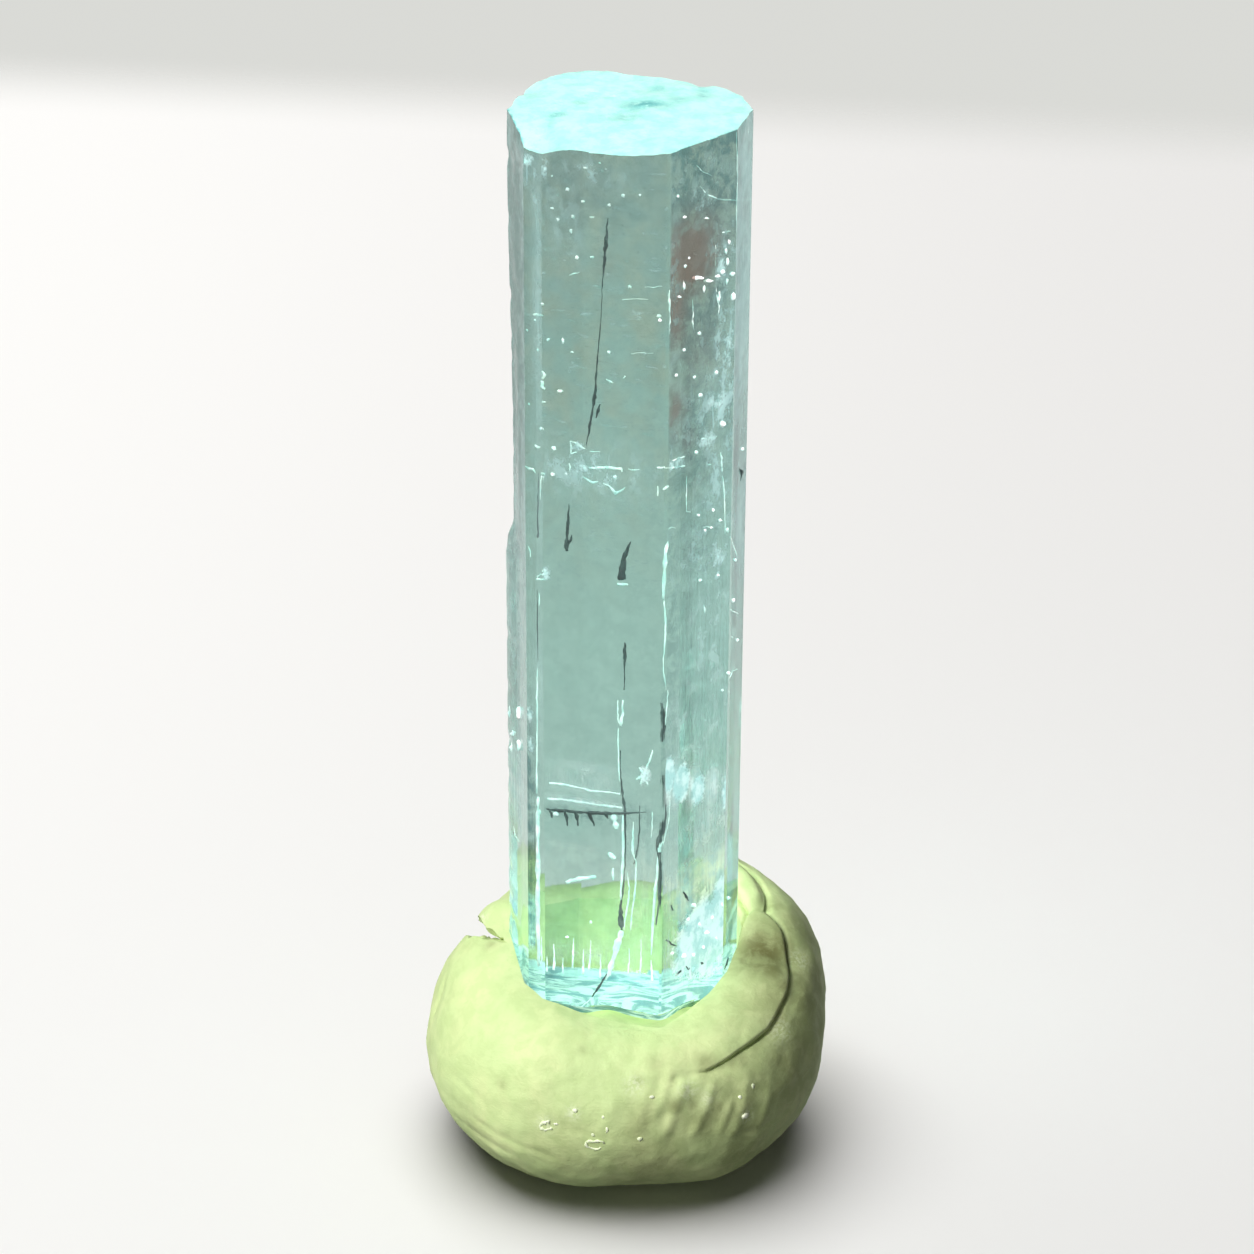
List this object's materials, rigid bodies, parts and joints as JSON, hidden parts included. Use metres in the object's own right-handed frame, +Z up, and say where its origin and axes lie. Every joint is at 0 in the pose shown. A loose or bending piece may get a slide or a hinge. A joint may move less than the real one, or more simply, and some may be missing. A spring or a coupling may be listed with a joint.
{
  "type": "aquamarine crystal specimen",
  "caption": "Tall hexagonal prism of clear aquamarine with a rough broken top, standing upright in a rounded ball of mounting putty.",
  "frame": {"origin": "middle of the object's box at the level of the putty's flat base, where it stands", "axes": "+Z up along the crystal, -Y towards the front, where the crystal's foot shows in the putty, +X to the right seen from the front"},
  "size_m": [0.0312, 0.0282, 0.084],
  "materials": {
    "aquamarine": "clear blue-green, glossy prism faces, frosted broken ends",
    "putty": "matt, pale yellow-green, pressed by hand"
  },
  "bodies": {
    "root": {"crystal": "aquamarine", "putty": "putty"}
  },
  "joints": []
}
